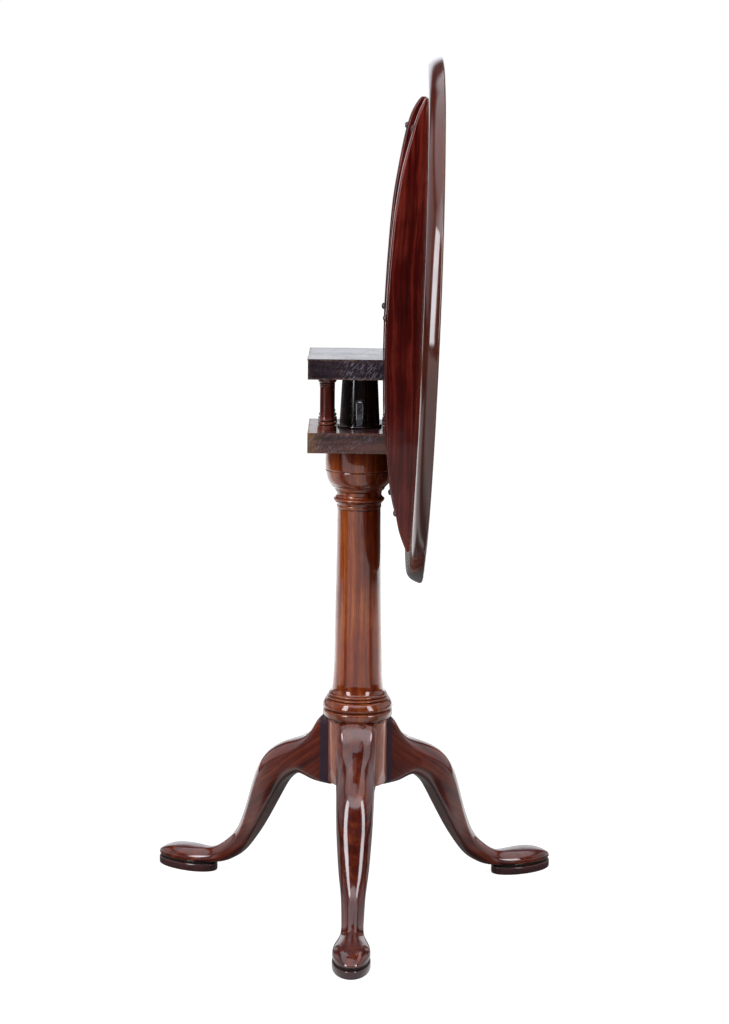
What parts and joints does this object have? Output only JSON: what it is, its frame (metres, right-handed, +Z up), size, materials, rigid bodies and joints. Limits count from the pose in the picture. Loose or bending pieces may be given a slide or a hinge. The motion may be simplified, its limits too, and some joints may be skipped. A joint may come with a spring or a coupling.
{
  "type": "tripod table",
  "caption": "Wooden tripod table: a round top tilts up on a turning cage over a turned pillar with cabriole legs and oval pad feet.",
  "frame": {"origin": "on the floor, on the pillar's axis", "axes": "+Z up, -Y towards the front leg, +X towards the tilted top's show face"},
  "size_m": [0.5204, 0.644, 1.0623],
  "materials": {
    "mahogany": "french polished",
    "brass": "lacquered, dulled",
    "iron": "dark and worn"
  },
  "bodies": {
    "stand": {"pillar": "mahogany", "leg_front": "mahogany", "leg_left": "mahogany", "leg_right": "mahogany", "collar_ring": "mahogany"},
    "wedge": {"wedge": "mahogany"},
    "cage": {"lower_block": "mahogany", "upper_block": "mahogany", "colonnette_front_left": "mahogany", "colonnette_front_right": "mahogany", "colonnette_back_left": "mahogany", "colonnette_back_right": "mahogany", "keeper_plate": "brass", "keeper_screws": "brass"},
    "top": {"tabletop": "mahogany", "bearer_near": "mahogany", "bearer_far": "mahogany", "bearer_screws_near": "iron", "bearer_screws_far": "iron", "catch_case": "brass", "catch_screws": "brass"},
    "catch_bolt": {"catch_bolt": "brass", "catch_knob": "brass"}
  },
  "joints": [
    {"name": "cage_turn", "type": "hinge", "parent": "stand", "child": "cage", "pos_m": [0, 0, 0.6473], "axis": [0, 0, 1], "continuous": true},
    {"name": "top_tilt", "type": "hinge", "parent": "cage", "child": "top", "pos_m": [0.0538, 0, 0.6875], "axis": [0, -1, 0], "range_deg": [0, 91.56]},
    {"name": "wedge_draw", "type": "slide", "parent": "stand", "child": "wedge", "axis": [0, -1, 0], "range_m": [0, 0.036]},
    {"name": "catch_slide", "type": "slide", "parent": "top", "child": "catch_bolt", "axis": [-0.0273, 0, -0.9996], "range_m": [0, 0.01]}
  ]
}
